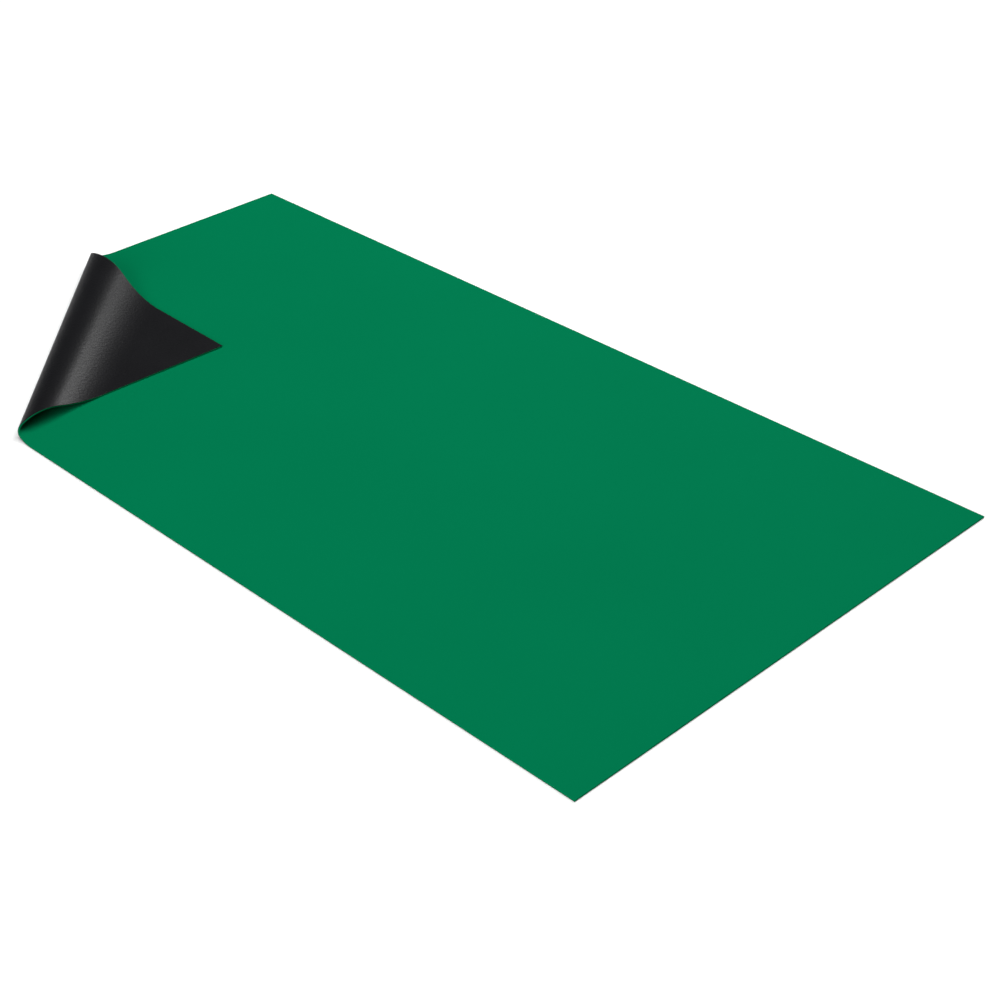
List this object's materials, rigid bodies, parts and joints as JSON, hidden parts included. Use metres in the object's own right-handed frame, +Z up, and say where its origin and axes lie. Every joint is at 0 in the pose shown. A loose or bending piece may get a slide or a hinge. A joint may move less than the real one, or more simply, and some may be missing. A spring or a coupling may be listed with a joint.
{
  "type": "anti static bench mat",
  "caption": "Rectangular anti static bench mat of green rubber on a black conductive back, lying flat with one corner folded over.",
  "frame": {"origin": "on the bench, under the middle of the 1200 by 640 mm sheet", "axes": "+X along the length, +Y across the width, +Z up out of the green working face; the folded corner is at low X and low Y"},
  "size_m": [1.2, 0.64, 0.0294],
  "materials": {
    "green_rubber": "matte",
    "black_rubber": "satin"
  },
  "bodies": {
    "root": {"green_top_layer": "green_rubber", "black_backing": "black_rubber"}
  },
  "joints": []
}
